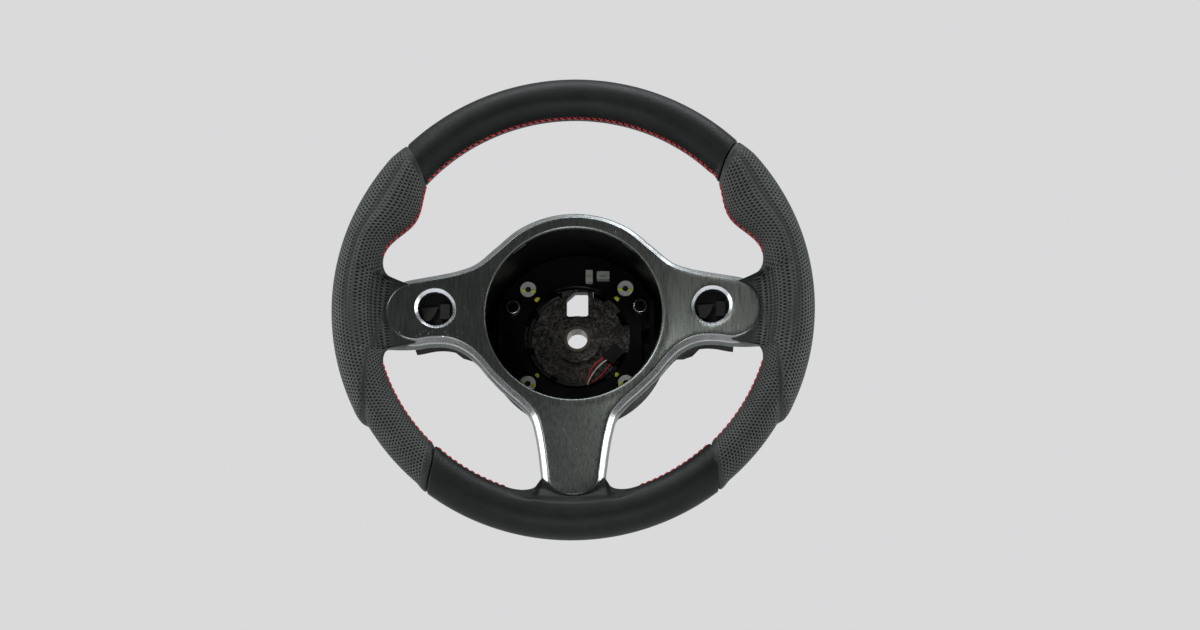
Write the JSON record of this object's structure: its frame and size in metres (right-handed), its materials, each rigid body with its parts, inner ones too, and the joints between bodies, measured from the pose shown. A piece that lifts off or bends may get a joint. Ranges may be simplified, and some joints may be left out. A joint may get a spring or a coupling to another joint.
{
  "type": "three-spoke steering wheel",
  "caption": "Leather-wrapped three-spoke road-car steering wheel with a splined hub, its airbag module and switches removed.",
  "frame": {"origin": "centre of the column bore on the hub's nut face", "axes": "+Y runs down the column away from the driver, +Z to twelve o'clock, +X to the driver's right"},
  "size_m": [0.382, 0.1409, 0.38],
  "materials": {
    "cast_magnesium": "rough die-cast",
    "foam": "moulded foam",
    "smooth_leather": "fine grain, semi-matt",
    "perforated_leather": "perforated, matt",
    "machined_steel": "machined",
    "gunmetal_bezel": "fine brushed satin",
    "black_plastic": "fine texture",
    "dark_steel": "blackened",
    "spring_steel": "bright wire",
    "grey_plastic": "moulded",
    "zinc_steel": "zinc plated with paint marks",
    "bush_plastic": "turned",
    "contact_brass": "pressed",
    "pale_plastic": "moulded",
    "sleeve_black": "satin",
    "wire_red": "satin",
    "wire_white": "satin"
  },
  "bodies": {
    "wheel": {"armature": "cast_magnesium", "bezel_clips": "spring_steel", "contact_studs": "contact_brass", "cover_screws": "dark_steel", "horn_springs": "spring_steel", "hub_pocket": "black_plastic", "leather_bottom": "smooth_leather", "leather_left": "perforated_leather", "leather_right": "perforated_leather", "leather_top": "smooth_leather", "rear_cover": "black_plastic", "rim_foam": "foam", "rim_ring": "cast_magnesium", "shoulder_screws": "zinc_steel", "sleeve_clips": "black_plastic", "spline_insert": "machined_steel", "spoke_bezel": "gunmetal_bezel", "switch_connector_left": "grey_plastic", "switch_connector_right": "grey_plastic", "switch_socket_left": "black_plastic", "switch_socket_right": "black_plastic", "wire_red_lower": "wire_red", "wire_red_upper": "wire_red", "wire_white": "wire_white", "wiring_plug": "black_plastic", "wiring_sleeve": "sleeve_black"},
    "horn_float": {"horn_carrier": "black_plastic", "guide_bushes": "bush_plastic", "seat_spring_left": "spring_steel", "seat_spring_right": "spring_steel", "contact_strip": "contact_brass", "terminal_upright": "pale_plastic", "terminal_flat": "pale_plastic"}
  },
  "joints": [
    {"name": "horn_slide", "type": "slide", "parent": "wheel", "child": "horn_float", "axis": [0, 1, 0], "range_m": [0, 0.0016], "stiffness_N_per_m": 4000, "springref_m": -0.002, "deforming": ["horn_springs"]}
  ]
}
